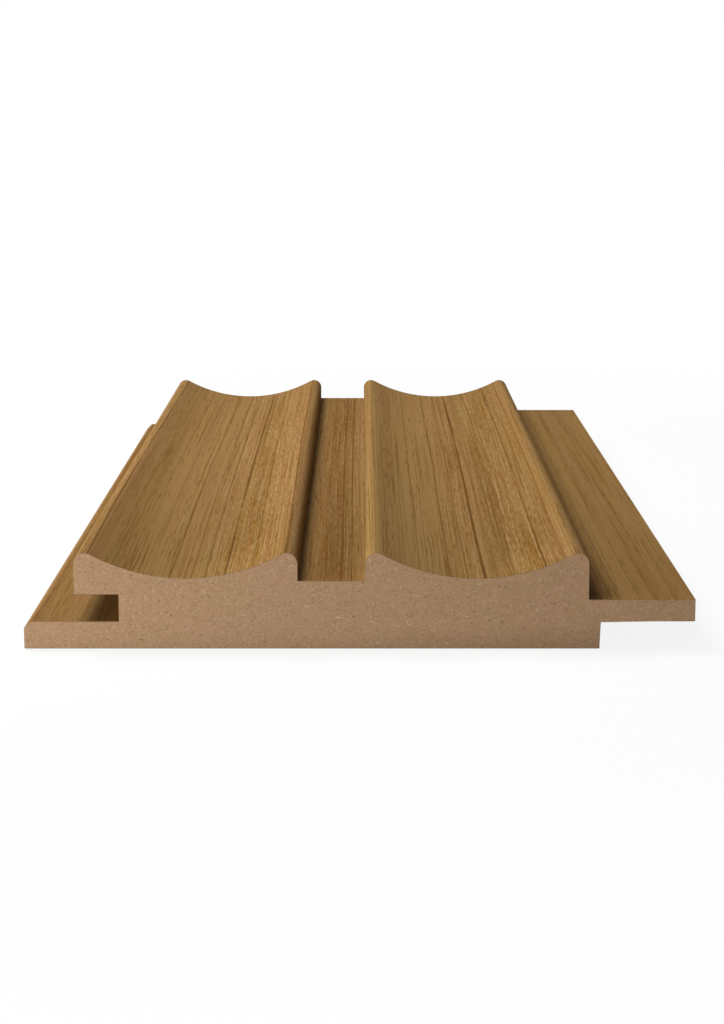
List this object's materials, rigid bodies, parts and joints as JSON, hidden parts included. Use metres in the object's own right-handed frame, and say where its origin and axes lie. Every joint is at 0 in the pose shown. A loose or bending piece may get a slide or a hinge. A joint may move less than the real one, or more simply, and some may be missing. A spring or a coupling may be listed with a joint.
{
  "type": "mdf wall panel",
  "caption": "Short length of moulded MDF wall panel with fluted, round-shouldered ribs in wood-grain film, a lipped groove and fixing flange on one edge and a tongue on the other.",
  "frame": {"origin": "middle of the back face's bounding box, on the wall plane", "axes": "+X across the panel towards the tongue, +Y along the panel, +Z out of the wall towards the fluted face"},
  "size_m": [0.12, 0.25, 0.0175],
  "materials": {
    "mdf": "raw cut fibreboard, matt",
    "wood_grain_film": "printed straight-grain wood decor film, satin"
  },
  "bodies": {
    "root": {"mdf_core": "mdf", "decor_film": "wood_grain_film"}
  },
  "joints": []
}
